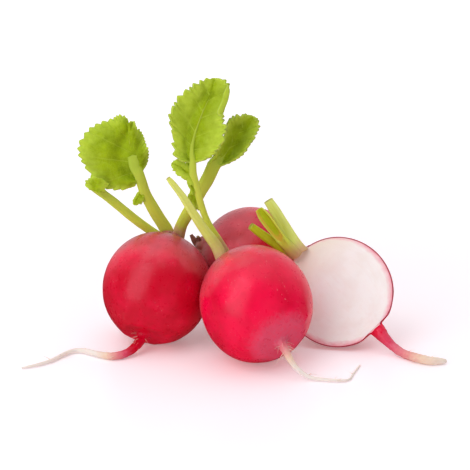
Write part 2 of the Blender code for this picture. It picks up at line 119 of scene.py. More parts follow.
# Each root: the middle of its bulb, the way its crown points, its half width, the length from the middle
# to the crown and to the foot, its bumps as directions with a height each, how high its collar is, how
# much it is painted: above 0 painted light brightens its red, below 0 painted shade darkens it, how far
# along the tail that starts to fade and has gone, how many root hairs it has at its neck and along its
# tail, and its tail as points with a radius at each. flare is the angle where its own flare starts, and
# that flare's pull.
ROOTS = {
    "left": {
        "centre": (-31.0, 17.0, 17.2), "crown": (0.22, 0.659, 0.72), "half_width": 17.2,
        "to_crown": 17.6, "to_foot": 18.3, "bumps": [((0.88, -0.48, 0.0), -0.2)], "collar": 1.9,
        "painted_light": -0.35, "fade": (8.2, 12.8), "hairs": (11, 6),
        "tail": [
            ((-34.3, 9.4, 7.4), 2.0), ((-35.8, 5.2, 4.0), 1.6), ((-39.0, 0.8, 1.9), 1.3),
            ((-43.4, -1.6, 1.3), 1.2), ((-48.0, 0.0, 1.05), 1.0), ((-54.0, 3.7, 0.95), 0.85),
            ((-58.0, 2.6, 0.85), 0.72), ((-62.8, -4.2, 0.75), 0.62), ((-67.2, -7.6, 0.65), 0.5),
            ((-71.0, -9.4, 0.5), 0.3),
        ],
    },
    "front": {
        "centre": (0.0, 0.0, 17.15), "crown": (-0.4545, 0.793, 0.406), "half_width": 17.4,
        "to_crown": 19.3, "to_foot": 17.6,
        "bumps": [((0.1, 0.3, 0.95), 0.7), ((-1.0, 0.0, -0.1), -0.65)], "collar": 1.9, "painted_light": 0.42,
        "fade": (-2.2, 2.5), "hairs": (18, 8),
        "tail": [
            ((6.9, -12.2, 11.2), 1.9), ((8.4, -15.0, 9.0), 1.35), ((10.1, -16.6, 6.0), 1.0),
            ((12.7, -17.6, 3.0), 0.78), ((16.2, -18.4, 1.1), 0.62), ((20.6, -19.2, 0.75), 0.5),
            ((25.2, -19.6, 0.6), 0.42), ((27.8, -18.2, 0.55), 0.35), ((29.2, -14.0, 0.5), 0.3),
            ((31.6, -7.4, 0.5), 0.28),
        ],
    },
    "back": {
        "centre": (-2.4, 38.2, 18.2), "crown": (-0.945, -0.03, 0.325), "half_width": 18.6,
        "to_crown": 16.6, "to_foot": 16.0, "bumps": [], "collar": 1.9, "painted_light": -0.2, "fade": (3.0, 10.0),
        "hairs": (8, 4),
        "tail": [
            ((9.4, 38.6, 15.9), 2.0), ((13.8, 39.0, 14.2), 1.6), ((18.0, 40.6, 9.2), 1.3),
            ((22.6, 43.0, 3.0), 1.0), ((28.0, 44.6, 0.95), 0.8), ((35.0, 43.4, 0.8), 0.6),
            ((41.6, 45.2, 0.6), 0.4),
        ],
    },
    "half": {
        "centre": (25.9, 12.7, 17.1), "crown": (-0.69, 0.397, 0.605), "half_width": 17.4,
        "to_crown": 17.4, "to_foot": 17.2, "bumps": [], "collar": 0.5, "painted_light": 0.0,
        "flare": (157.0, 4.6), "fade": (6.5, 17.0), "hairs": (0, 4),
        "tail": [
            ((36.4, 9.1, 8.0), 1.6), ((38.4, 6.6, 6.4), 2.3), ((40.1, 4.5, 4.8), 1.75),
            ((42.4, 2.8, 2.9), 1.42), ((45.6, 0.0, 1.5), 1.35), ((49.7, -4.0, 1.5), 1.4),
            ((53.2, -5.6, 1.35), 1.3), ((55.9, -5.5, 1.15), 1.1), ((57.6, -5.2, 1.0), 0.8),
        ],
    },
}

# The knife's plane through the half root: its outward direction, how far along the axis it ran flat, and
# how steeply it came out short of the tail.
HALF_FACE = Vector((-0.193, -0.907, 0.375))
HALF_CUT_FOOT = 17.7
KNIFE_EXIT = 6.0

# Leaf stalks cut short: the route from the crown outwards as points with a width at each, how flat and how
# grooved the stalk is, which way its upper side faces, and its tint: 0 is pale, 1 is olive and 2 is dark.
# With open_end its channel stays open at the cut.
STUBS = {
    "front_leaf_stub": {
        "route": [
            ((-10.0, 12.4, 27.2), 4.3), ((-12.2, 14.0, 31.7), 3.7), ((-16.1, 13.2, 37.6), 3.1),
            ((-19.5, 12.0, 43.5), 2.7), ((-22.6, 10.8, 49.0), 2.3), ((-25.5, 10.0, 53.2), 1.9),
            ((-26.9, 9.8, 55.0), 1.3),
        ],
        "flatness": 0.8, "groove": 0.12, "facing": (0.2, -0.9, 0.4), "tint": 0.25,
    },
    "back_leaf_stub_upper": {
        "route": [((-16.2, 37.7, 23.0), 3.0), ((-17.7, 36.8, 25.6), 2.5), ((-18.5, 36.0, 28.0), 1.2)],
        "flatness": 0.8, "groove": 0.1, "facing": (-0.6, -0.6, 0.4), "tint": 2.0,
    },
    "back_leaf_stub_lower": {
        "route": [((-16.4, 39.4, 22.6), 2.8), ((-19.2, 40.4, 24.6), 2.4), ((-20.9, 41.2, 27.0), 1.1)],
        "flatness": 0.8, "groove": 0.1, "facing": (-0.6, -0.6, 0.4), "tint": 2.0,
    },
    "half_leaf_stub_long": {
        "route": [
            ((14.1, 19.3, 27.6), 6.0), ((11.9, 20.5, 31.2), 4.4), ((8.9, 21.6, 36.3), 3.7),
            ((5.8, 22.2, 41.4), 3.5), ((4.0, 22.4, 44.2), 3.1),
        ],
        "flatness": 0.7, "groove": 0.1, "facing": (-0.3, -0.9, 0.2), "tint": 0.1,
    },
    "half_leaf_stub_hollow": {
        "route": [
            ((12.9, 18.6, 27.4), 4.6), ((9.6, 17.0, 31.2), 3.6), ((6.2, 16.6, 35.6), 3.8),
            ((2.9, 16.7, 40.2), 3.9), ((1.0, 16.9, 42.9), 2.6),
        ],
        "flatness": 0.75, "groove": 0.55, "open_end": True, "facing": (-0.45, -0.85, 0.1), "tint": 0.7,
    },
    "half_leaf_stub_slim": {
        "route": [
            ((11.9, 20.6, 26.4), 4.0), ((7.4, 20.2, 29.8), 3.0), ((2.8, 18.6, 33.6), 2.8),
            ((-1.5, 17.0, 37.4), 2.3),
        ],
        "flatness": 0.85, "groove": 0.15, "facing": (-0.3, -0.8, 0.5), "tint": 1.0,
    },
}

# Leaves: each has a stalk, as the stubs have, which ends where the blade starts and then runs on as the
# blade's rib, with rib_widths. brown is how much further up its base is brown, and strap is the share of
# its length where a flat strap ends bluntly, and the share of the width that goes on from there.
#
# Blades are drawn on an upright board whose origin is the stalk's end: x to the right, y up and z to the
# front. A blade is its midrib, from the stalk to the tip, and its left and right outline up to that same
# tip, which they leave out. fold is how steeply its left and right side rise to the front, and valley
# where between rib and edge each side dips, and how deep. bulge is how far it swells between rib and edge,
# wave how far its edge goes in and out, depth how far in front of the board it lies, and veins and teeth
# how many each side has. tooth_depth is its own depth of tooth, and curl the shares of its length between
# which its right margin folds over. rim is above 1 where the lighter edge, its paler margin together with
# painted light on the lit margin, is narrow, and below 1 where broad.
LEAVES = {
    "left_leaf_short": {
        "route": [
            ((-30.8, 30.4, 30.0), 2.6), ((-33.5, 30.2, 31.8), 2.8), ((-38.9, 29.2, 36.3), 2.9),
            ((-45.7, 27.6, 42.8), 2.8), ((-51.7, 25.6, 48.3), 2.6),
        ],
        "rib_widths": [1.2, 0.6], "facing": (-0.1, -0.9, 0.4), "flatness": 0.85, "groove": 0.1,
        "blades": [{
            "midrib": [(1.2, -1.8), (1.5, 0.2), (1.9, 2.2)],
            "left": [(-0.5, -1.5), (-1.5, 0.1), (-0.9, 1.6), (0.5, 2.6)],
            "right": [(2.9, -2.7), (4.4, -1.4), (5.2, 0.2), (4.0, 1.8)],
            "fold": (-14.0, -10.0), "depth": 1.1, "bulge": 0.05, "wave": 0.2, "teeth": 3,
            "veins": 3,
        }],
    },
    "left_leaf_round": {
        "route": [
            ((-27.3, 30.0, 29.4), 3.8), ((-28.7, 30.0, 32.6), 4.1), ((-31.9, 29.0, 38.4), 3.9),
            ((-34.8, 27.6, 44.8), 3.5), ((-36.5, 26.4, 51.0), 3.3),
        ],
        "rib_widths": [3.9, 3.9, 3.9, 3.4, 2.6, 1.6], "strap": (0.613, 0.24),
        "facing": (0.1, -0.95, 0.2), "flatness": 0.55, "groove": 0.0, "brown": 0.09,
        "blades": [{
            "midrib": [
                (0.0, 0.0), (-1.2, 2.9), (-1.8, 5.9), (-2.4, 8.5), (-2.9, 11.5), (-3.3, 14.4),
                (-3.6, 16.4),
            ],
            "left": [
                (-1.4, -3.0), (-6.3, -4.3), (-12.2, -3.0), (-16.4, 1.2), (-18.9, 6.8), (-18.3, 11.2),
                (-15.6, 14.9), (-11.2, 17.0), (-7.6, 18.2), (-5.4, 18.6), (-4.0, 17.8),
            ],
            "right": [
                (0.8, 1.5), (2.1, 4.2), (2.5, 7.6), (1.5, 10.9), (-0.4, 14.0), (-1.6, 16.2),
                (-2.6, 16.9),
            ],
            "fold": (-16.0, -16.0), "rim": 2.6, "valley": ((0.25, 1.7), (0.5, 0.0)), "bulge": 0.16,
            "wave": 1.1, "teeth": 23, "veins": 6,
        }, {
            "midrib": [(0.8, -5.0), (-0.7, -6.9), (-1.8, -9.3)],
            "left": [(-0.1, -4.2), (-1.3, -6.4), (-2.3, -8.2)],
            "right": [(1.5, -6.6), (1.0, -8.2), (-0.4, -9.1)],
            "fold": (0.0, 0.0), "bulge": 0.05, "wave": 0.2, "teeth": 3, "veins": 3, "depth": -2.2,
        }],
    },
    "left_leaf_spoon": {
        "route": [
            ((-24.9, 30.0, 28.9), 4.3), ((-23.7, 30.0, 33.4), 3.9), ((-21.4, 29.4, 38.0), 4.0),
            ((-18.3, 28.6, 43.8), 4.0), ((-15.1, 27.8, 49.7), 4.2), ((-13.0, 27.2, 54.4), 4.4),
        ],
        "rib_widths": [3.7, 1.2, 0.8, 0.6, 0.5, 0.3], "facing": (0.25, -0.9, 0.3), "flatness": 0.62,
        "groove": 0.16, "brown": 0.09,
        "blades": [{
            "midrib": [
                (0.0, 0.0), (1.3, 1.4), (2.8, 3.1), (5.4, 6.6), (7.7, 10.1), (10.1, 12.9), (12.3, 15.4),
            ],
            "left": [
                (-2.1, 0.4), (0.7, 3.8), (2.2, 6.6), (3.5, 9.7), (4.4, 12.9), (5.7, 15.0), (9.1, 15.7),
            ],
            "right": [
                (2.1, -0.3), (5.7, 1.3), (8.5, 3.2), (10.7, 6.0), (12.3, 8.6), (13.5, 11.3),
                (13.8, 13.8),
            ],
            "fold": (40.0, 16.0), "rim": 1.0, "bulge": -0.3, "wave": 0.35, "teeth": 15, "veins": 5,
        }, {
            "midrib": [(-4.2, -8.0), (-5.6, -9.6), (-8.4, -10.0)],
            "left": [(-4.0, -6.9), (-5.8, -7.5), (-7.6, -8.5)],
            "right": [(-4.3, -10.5), (-4.7, -13.9), (-6.4, -13.2)],
            "fold": (0.0, -20.0), "bulge": 0.05, "wave": 0.2, "teeth": 4, "veins": 3, "depth": -2.6,
        }],
    },
    "front_leaf_tall": {
        "route": [
            ((-8.2, 17.2, 26.4), 2.9), ((-10.8, 18.2, 31.2), 2.4), ((-14.5, 18.3, 37.3), 2.1),
            ((-16.7, 19.0, 42.7), 2.1), ((-18.2, 19.3, 48.5), 2.3), ((-19.5, 19.7, 53.5), 2.5),
            ((-19.5, 20.0, 57.0), 2.1),
        ],
        "rib_widths": [1.3, 0.8, 0.55, 0.4, 0.25], "facing": (0.0, -1.0, 0.2), "flatness": 0.8,
        "groove": 0.0, "brown": 0.12,
        "blades": [{
            "midrib": [(0.0, 0.0), (-0.3, 4.0), (0.6, 9.0), (3.1, 15.9), (5.3, 21.0), (6.8, 26.3)],
            "left": [
                (-0.9, 0.3), (-4.0, 0.9), (-5.8, 4.0), (-6.1, 8.1), (-6.9, 12.7), (-6.5, 16.4),
                (-5.2, 18.5), (-3.0, 21.6), (-0.5, 23.0), (1.9, 24.7), (4.4, 25.9),
            ],
            "right": [
                (0.6, 0.1), (3.4, 1.0), (5.9, 2.2), (7.8, 4.4), (9.5, 8.1), (10.3, 10.8), (9.2, 13.3),
                (9.6, 16.1), (10.9, 19.7), (11.3, 23.1), (10.0, 25.3),
            ],
            "fold": (14.0, 24.0), "valley": ((0.3, 0.9), (0.15, 0.5)), "curl": (0.56, 0.86),
            "rim": 0.7, "bulge": -0.12, "wave": 0.7, "teeth": 16, "tooth_depth": 0.95, "veins": 6,
        }, {
            "midrib": [(0.2, -4.6), (-2.0, -2.8), (-4.5, -0.9), (-6.6, 0.0)],
            "left": [(0.2, -7.4), (-2.0, -5.6), (-4.5, -3.7), (-6.3, -1.6)],
            "right": [(0.0, -1.0), (-2.0, -0.1), (-3.8, 0.7), (-5.4, 0.6)],
            "fold": (0.0, 0.0), "rim": 0.5, "bulge": 0.1, "wave": 0.3, "teeth": 5, "veins": 3,
            "depth": -0.7,
        }, {
            "midrib": [(0.3, -9.0), (-0.4, -5.0), (-0.9, -1.0), (-1.0, 1.2)],
            "left": [(-0.2, -10.0), (-1.9, -6.0), (-2.3, -1.5)],
            "right": [(0.7, -9.4), (0.6, -5.0), (0.2, -1.0)],
            "fold": (0.0, 0.0), "bulge": 0.0, "wave": 0.1, "teeth": 0, "veins": 2, "depth": -0.9,
        }],
    },
}


class Shape:
    """Points in millimetres with their faces, gathered before they become one mesh.

    Every point also carries a spot, which is its place in the grown object's own directions, and three
    tones, which its material reads. A root's tones are how far its red has faded, how far it is from the
    crown, and how much painted light brightens or painted shade darkens its red, or on the knife's face how
    far it is from the rim. A stalk's are how far along it is, how deep in the channel, and its tint. A
    blade's are how close it is to a vein, how close to the edge, and which side it is on."""

    def __init__(self):
        self.points = []
        self.spots = []
        self.tones = []
        self.faces = []
        self.looks = []

    def point(self, place, spot, tone):
        self.points.append(place)
        self.spots.append(spot)
        self.tones.append(tone)
        return len(self.points) - 1

    def face(self, corners, look=0):
        self.faces.append(corners)
        self.looks.append(look)

    def skin(self, rings, open_end=False):
        """Joins rings of point numbers into a closed skin, with a fan over each end.

        With open_end the last ring is closed by a strip, so that a deep channel stays open there."""
        for near, far in zip(rings, rings[1:]):
            count = len(near)
            for j in range(count):
                k = (j + 1) % count
                self.face((near[j], near[k], far[k], far[j]))
        ends = [(rings[0], True)]
        if open_end:
            last = rings[-1]
            for i in range(len(last) // 2):
                corners = (last[i], last[i + 1], last[-i - 1], last[-i])
                self.face(tuple(dict.fromkeys(corners)))
        else:
            ends.append((rings[-1], False))
        for ring, turned in ends:
            middle = sum((self.points[i] for i in ring), Vector()) / len(ring)
            spot = sum((self.spots[i] for i in ring), Vector()) / len(ring)
            centre = self.point(middle, spot, self.tones[ring[0]])
            for j, corner in enumerate(ring):
                following = ring[(j + 1) % len(ring)]
                self.face((following, corner, centre) if turned else (corner, following, centre))

    def piece(self, name, materials):
        """The mesh as an object in metres, with the spots and tones as named values on its points."""
        mesh = bpy.data.meshes.new(name)
        mesh.from_pydata([p * MM for p in self.points], [], self.faces)
        for look in materials:
            mesh.materials.append(look)
        mesh.polygons.foreach_set("material_index", self.looks)
        mesh.polygons.foreach_set("use_smooth", [True] * len(self.faces))
        for title, values in (("spot", self.spots), ("tone", self.tones)):
            held = mesh.attributes.new(title, "FLOAT_VECTOR", "POINT")
            held.data.foreach_set("vector", [c for v in values for c in v])
        mesh.validate()
        mesh.update()
        return add_object(name, mesh)


def add_object(name, data):
    obj = bpy.data.objects.new(name, data)
    bpy.context.scene.collection.objects.link(obj)
    return obj


def spline(points, share):
    """The point at this share, 0 to 1, of a smooth curve through the points (Catmull-Rom)."""
    place = min(max(share, 0.0), 1.0) * (len(points) - 1)
    i = min(int(place), len(points) - 2)
    t = place - i
    p1, p2 = points[i], points[i + 1]
    p0 = points[i - 1] if i > 0 else 2 * p1 - p2
    p3 = points[i + 2] if i + 2 < len(points) else 2 * p2 - p1
    square = 2 * p0 - 5 * p1 + 4 * p2 - p3
    cube = 3 * (p1 - p2) + p3 - p0
    return 0.5 * (2 * p1 + (p2 - p0) * t + square * t**2 + cube * t**3)


def placed(point):
    """A point of the bunch, in millimetres, moved so that the footprint's middle is the origin."""
    return Vector(point) + FOOTPRINT_SHIFT


def ease(t):
    t = min(max(t, 0.0), 1.0)
    return t * t * (3 - 2 * t)


def route_length(points):
    return sum((b - a).length for a, b in zip(points, points[1:]))


def bulb_outline(root):
    """The fine half outline of a root as (radius, height): its collar with its body, and its flare."""
    width, top, foot = root["half_width"], root["to_crown"], root["to_foot"]
    flare_angle, pull = root.get("flare", (FLARE_ANGLE, FLARE_PULL))
    first, last = math.radians(CROWN_ANGLE), math.radians(flare_angle)

    def body(angle):
        return Vector((width * math.sin(angle), (top if angle < math.pi / 2 else foot) * math.cos(angle)))

    shoulder = body(first).y
    collar = [
        Vector((0.4, shoulder + root["collar"])),
        Vector((0.62 * COLLAR_RADIUS, shoulder + 0.95 * root["collar"])),
        Vector((0.88 * COLLAR_RADIUS, shoulder + 0.5 * root["collar"])),
        body(first),
    ]
    outline = [spline(collar, i / COLLAR_STEPS) for i in range(COLLAR_STEPS)]
    outline += [body(first + (last - first) * i / BODY_STEPS) for i in range(BODY_STEPS + 1)]
    start, heading = outline[-1], (body(last) - body(last - 0.01)).normalized()
    end = Vector((root["tail"][1][1], -foot - 1.2))
    flare = []
    for i in range(1, FLARE_STEPS + 1):
        t = i / FLARE_STEPS
        from_start = start + heading * pull * t
        from_end = end + Vector((0.0, pull * (1 - t)))
        flare.append(from_start.lerp(from_end, ease(t)))
    return outline, flare


def root_stations(root):
    """The rings of a root from crown to tip: middle, heading, radius, height on the axis, and tail run."""
    axis = Vector(root["crown"]).normalized()
    centre = placed(root["centre"])
    outline, flare = bulb_outline(root)
    route = [placed(p) for p, _ in root["tail"]]
    radii = [Vector((r, 0.0)) for _, r in root["tail"]]
    first = 1 / (len(route) - 1)
    stations = [(centre + axis * p.y, -axis, p.x, p.y, 0.0) for p in outline]
    shift = route[1] - (centre + axis * flare[-1].y)
    tail_heading = (spline(route, first + 0.01) - spline(route, first - 0.01)).normalized()
    for i, p in enumerate(flare):
        share = (i + 1) / len(flare)
        heading = (-axis).lerp(tail_heading, ease((share - 0.55) / 0.45)).normalized()
        stations.append((centre + axis * p.y + shift * ease(share), heading, p.x, p.y, 0.0))
    steps = int(route_length(route[1:]) / TAIL_STEP)
    run, before = 0.0, route[1]
    for i in range(1, steps + 1):
        share = first + (1 - first) * i / steps
        place = spline(route, share)
        heading = (spline(route, share) - spline(route, share - 0.01)).normalized()
        run += (place - before).length
        before = place
        stations.append((place, heading, spline(radii, share).x, flare[-1].y - run, run))
    place, heading, radius, height, run = stations[-1]
    for angle in (30, 60, 80):
        round_off, ahead = math.cos(math.radians(angle)), math.sin(math.radians(angle))
        end = place + heading * radius * ahead
        stations.append((end, heading, radius * round_off, height - radius * ahead, run))
    return stations


def root_shape(root, cut=None):
    """A root as one closed skin from crown to tip. Where cut is given, its knife face is flat."""
    shape = Shape()
    axis = Vector(root["crown"]).normalized()
    centre = placed(root["centre"])
    stations = root_stations(root)
    side = axis.cross(Vector((0.0, 1.0, 0.3))).normalized()
    fade_start, fade_end = root["fade"]
    foot = -stations[COLLAR_STEPS + BODY_STEPS][3]
    neck = stations[COLLAR_STEPS + BODY_STEPS + FLARE_STEPS][3]
    rings, cut_off = [], set()
    for n, (middle, heading, radius, height, run) in enumerate(stations):
        side = (side - heading * side.dot(heading)).normalized()
        up = heading.cross(side)
        before, after = stations[max(n - 1, 0)], stations[min(n + 1, len(stations) - 1)]
        fall, widen = abs(after[3] - before[3]), abs(after[2] - before[2])
        steepness = fall / max(math.hypot(fall, widen), 1e-6)
        ring = []
        for j in range(ROOT_SIDES):
            angle = 2 * math.pi * j / ROOT_SIDES
            out = side * math.cos(angle) + up * math.sin(angle)
            spot = Vector((math.cos(angle) * radius, math.sin(angle) * radius, height))
            bearing = (middle + out * radius - centre).normalized()
            reach = radius + skin_unevenness(root, spot, bearing, angle, radius, height, n, foot, run)
            place = middle + out * reach
            fade = run if run > 0 else height * -1 + neck
            # The third tone is the root's painted light: above 0 it brightens the red, below 0 it darkens
            # it as painted shade.
            tone = [(fade - fade_start) / (fade_end - fade_start), root["to_crown"] - height, root["painted_light"]]
            past = (place - centre).dot(cut) - knife_limit(height) if cut else 0.0
            if past > 0:
                tone[2] = rim_distance(place, middle, centre, cut, reach) * steepness
                place -= cut * past
                cut_off.add(len(shape.points))
            place.z = max(place.z, 0.0)
            ring.append(shape.point(place, spot, tone))
        rings.append(ring)
    shape.skin(rings)
    for i, corners in enumerate(shape.faces):
        if cut_off.issuperset(corners):
            shape.looks[i] = 1
    return shape, stations


def knife_limit(height):
    """How far from the axis the knife's face lies at this height: it comes out short of the tail."""
    return KNIFE_EXIT * max(0.0, -HALF_CUT_FOOT - height)


def rim_distance(place, middle, centre, cut, reach):
    """How far in from the rim of the knife's face a point of the skin ends up."""
    depth, behind = (place - centre).dot(cut), (centre - middle).dot(cut)
    across = math.sqrt(max(reach**2 - (depth + behind) ** 2, 0.0))
    chord = math.sqrt(max(reach**2 - behind**2, 0.0))
    return max(chord - across, 0.0)


def skin_unevenness(root, spot, out, angle, radius, height, n, foot, run):
    """How far the skin stands out or in here: broad lumps, dimples, ridges at the foot and on the tail."""
    seat = Vector(root["centre"])
    bumps = sum(high * max(0.0, out.dot(Vector(way).normalized())) ** 3 for way, high in root["bumps"])
    if run > 0:
        knots = noise.noise(Vector((run * 0.7, angle * 0.3, seat.x)))
        knots += 0.5 * noise.noise(Vector((run * 2.1, math.sin(angle), seat.y)))
        return radius * TAIL_KNOT_HEIGHT * knots
    if n < COLLAR_STEPS:
        return -COLLAR_FOLD_DEPTH * radius * max(0.0, math.cos(COLLAR_FOLDS * angle + seat.x)) ** 4
    broad = LUMP_HEIGHT * noise.noise(spot * LUMP_SCALE + seat)
    fine = DIMPLE_HEIGHT * noise.noise(spot * DIMPLE_SCALE + seat)
    size = min(1.0, radius / 6)
    near_foot = ease((-height - foot + 4.0) / 6.0)
    ridges = math.sin(FOOT_RIDGES * angle + 2.0 * noise.noise(spot * 0.3))
    return (broad + fine + bumps) * size + radius * FOOT_RIDGE_HEIGHT * near_foot * ridges


def add_hair(shape, start, direction, droop, length, width):
    """A root hair: a thin tapering thread that leaves the skin and droops."""
    rings = []
    side = direction.cross(Vector((0.3, 0.5, 0.8))).normalized()
    for i in range(HAIR_STEPS + 1):
        t = i / HAIR_STEPS
        middle = start + direction * length * t + droop * length * t * t
        middle.z = max(middle.z, 0.08)
        heading = (direction + droop * 2 * t).normalized()
        side = (side - heading * side.dot(heading)).normalized()
        up = heading.cross(side)
        radius = 0.5 * width * (1 - 0.8 * t)
        ring = []
        for j in range(HAIR_SIDES):
            angle = 2 * math.pi * j / HAIR_SIDES
            place = middle + (side * math.cos(angle) + up * math.sin(angle)) * radius
            ring.append(shape.point(place, place.copy(), HAIR_TONES))
        rings.append(ring)
    shape.skin(rings)


def add_hairs(shape, root, stations, chance):
    """Root hairs round the neck of a root and thinly along its tail."""
    neck = COLLAR_STEPS + BODY_STEPS + FLARE_STEPS
    at_neck_count, along_count = root["hairs"]
    for i in range(at_neck_count + along_count):
        at_neck = i < at_neck_count
        if at_neck:
            index = neck + chance.randint(-8, 10)
        else:
            index = chance.randint(neck + 12, len(stations) - 8)
        middle, heading, radius, _, _ = stations[index]
        angle = chance.uniform(0, 2 * math.pi)
        side = heading.cross(Vector((0.0, 0.4, 1.0))).normalized()
        out = side * math.cos(angle) + heading.cross(side) * math.sin(angle)
        if out.z < -0.4:
            out.z = -out.z
        direction = (out + heading * chance.uniform(0.2, 1.1)).normalized()
        droop = Vector((chance.uniform(-0.3, 0.3), chance.uniform(-0.3, 0.3), -0.35))
        length = chance.uniform(*(NECK_HAIR_LENGTH if at_neck else TAIL_HAIR_LENGTH))
        width = chance.uniform(*HAIR_WIDTH)
        add_hair(shape, middle + out * radius * 0.85, direction, droop, length, width)


def stalk_ring(width, flatness, groove):
    """The cross-section of a stalk: an oval with fine ridges and a channel sunk into its upper side."""
    ring = []
    channel = width * (HOLLOW_WIDTH if groove > 0.3 else CHANNEL_WIDTH)
    for i in range(STALK_SIDES):
        angle = 2 * math.pi * i / STALK_SIDES
        grown = 1 + STALK_RIDGE_HEIGHT * math.cos(STALK_RIDGES * angle)
        x, y = 0.5 * width * math.cos(angle) * grown, 0.5 * width * flatness * math.sin(angle) * grown
        inside = math.exp(-((x / channel) ** 4)) if y > 0 else 0.0
        ring.append((x, y - width * groove * inside, inside))
    return ring


def add_stalk(shape, route, widths, stalk, mark):
    """A closed stalk along a route. mark gives the tones for a share of its length and of its channel."""
    steps = max(8, int(route_length(route) / STALK_STEP))
    line = [spline(route, i / steps) for i in range(steps + 1)]
    sizes = [spline([Vector((w, 0.0)) for w in widths], i / steps).x for i in range(steps + 1)]
    strap_end, left_over = stalk.get("strap", (1.0, 1.0))
    for i in range(steps + 1):
        sizes[i] *= 1 - (1 - left_over) * ease((i / steps - strap_end) / STRAP_TAPER)
    rings, run = [], 0.0
    for i, centre in enumerate(line):
        along = (line[min(i + 1, steps)] - line[max(i - 1, 0)]).normalized()
        facing = Vector(stalk["facing"])
        upper = (facing - along * facing.dot(along)).normalized()
        side = along.cross(upper)
        swell = 1 + 0.05 * noise.noise(Vector((run * 0.25, widths[0], 0.0)))
        ring = []
        groove = stalk["groove"] * ease((i / steps - 0.2) / 0.35)
        for x, y, inside in stalk_ring(sizes[i] * swell, stalk["flatness"], groove):
            place = centre + side * x + upper * y
            ring.append(shape.point(place, Vector((x, y, run)), mark(i / steps, inside * groove)))
        rings.append(ring)
        run += (line[min(i + 1, steps)] - centre).length
    shape.skin(rings, stalk.get("open_end", False))


def stub_shape(stub):
    """A leaf stalk that was cut short. Its end is sunken, or open and without the brown of a cut."""
    shape = Shape()
    route = [placed(p) for p, _ in stub["route"]]
    is_open = stub.get("open_end", False)
    end_share = 0.95 if is_open else 1.0
    widths = [w for _, w in stub["route"]]
    add_stalk(shape, route, widths, stub, lambda t, inside: (t * end_share, inside, stub["tint"]))
    if not is_open:
        shape.points[-1] -= (route[-1] - route[-2]).normalized() * CUT_END_SINK * widths[-1]
    return shape


def board_matrix(origin):
    """Where a leaf's drawing board stands: upright, facing the front and leaning back a little."""
    tilt = Euler((math.radians(90.0 - BOARD_LEAN), 0.0, 0.0))
    return Matrix.Translation(placed(origin)) @ tilt.to_matrix().to_4x4()


def curled_over(blade, side, s, t):
    """How much the right margin folds to the front, and how far that moves a point outwards and up."""
    if side == 0 or "curl" not in blade:
        return 0.0, 0.0, 0.0
    start, end = blade["curl"]
    amount = ease((t - start) / 0.08) * ease((end - t) / 0.08)
    stretched = s * (1 + CURL_SHARE * amount)
    past = max(0.0, stretched - 1.0)
    return amount, stretched - 2 * past - s, CURL_GAP * (1 - math.exp(-past * 25))


def tooth_height(blade, s, t, size, uneven):
    """How far a tooth, or the gap beside it, moves the blade's edge out or in here."""
    along = (t * blade["teeth"] + 0.6 * uneven) % 1.0
    lobe = 1.5 * min(along / TOOTH_PEAK, (1 - along) / (1 - TOOTH_PEAK)) - 0.75 + 0.7 * uneven
    depth = blade.get("tooth_depth", TOOTH_DEPTH)
    return depth * s**5 * lobe * size * ease(8 * t) * ease(8 * (1 - t))


def blade_height(blade, side, s, t, span, size):
    """How far to the front a blade lies here, by its fold, valley, swelling and waves."""
    rise = math.tan(math.radians(blade["fold"][side])) * s * span
    where, deep = blade.get("valley", NO_VALLEY)[side]
    rise -= deep * math.exp(-(((s - where) / VALLEY_WIDTH) ** 2)) * size * ease(3 * (1 - t))
    swell = blade["bulge"] * span * math.sin(math.pi * s)
    ripple = blade["wave"] * s * s * math.sin(2 * math.pi * (3.0 * t + 0.3 * side)) * size
    return blade.get("depth", 0.0) + rise + swell + ripple


def blade_point(blade, rib, edge, side, s, t, length):
    """A blade's place at a share s from rib to edge and t to the tip, and how close it is to a vein."""
    reach = edge - rib
    span = reach.length
    size = min(1.0, span / FULL_RELIEF_SPAN)
    uneven = noise.noise(Vector((t * 11, side * 5.0, length)))
    amount, moved, lift = curled_over(blade, side, s, t)
    tooth = tooth_height(blade, s, t, size, uneven)
    flat = rib + reach * (s + moved) + reach.normalized() * tooth * (1 - amount)
    count = blade["veins"] * t + 0.35 * side - 0.2 * s
    apart = abs(count - round(count)) / blade["veins"] * length
    vein = math.exp(-((apart / VEIN_WIDTH) ** 2)) * (1 - 0.75 * s)
    puff = PUFF_HEIGHT * abs(math.sin(math.pi * count)) ** 0.7 * math.sin(math.pi * s**0.8) * size
    crinkle = CRINKLE_HEIGHT * noise.noise(Vector((flat.x * 0.6, flat.y * 0.6, 3.0))) * size
    z = blade_height(blade, side, s, t, span, size) + lift + puff + crinkle
    return Vector((flat.x, flat.y, z)), vein


def blade_grid(blade):
    """The middle sheet of a blade as rows of (place, closeness to a vein, share of the way to the edge)."""
    midrib = [Vector(p) for p in blade["midrib"]]
    outlines = [[Vector(p) for p in blade[key]] + midrib[-1:] for key in ("left", "right")]
    length = 0.5 * (route_length(midrib) + route_length(outlines[0]))
    steps = BLADE_STEPS * max(blade["teeth"], 4)
    rows = []
    for i in range(steps + 1):
        t = 0.002 + 0.992 * i / steps
        rib = spline(midrib, t**1.25)
        edges = [spline(outline, t) for outline in outlines]
        row = []
        for j in range(2 * BLADE_COLUMNS + 1):
            s = abs(j - BLADE_COLUMNS) / BLADE_COLUMNS
            side = 0 if j < BLADE_COLUMNS else 1
            row.append((*blade_point(blade, rib, edges[side], side, s, t, length), s))
        rows.append(row)
    return rows


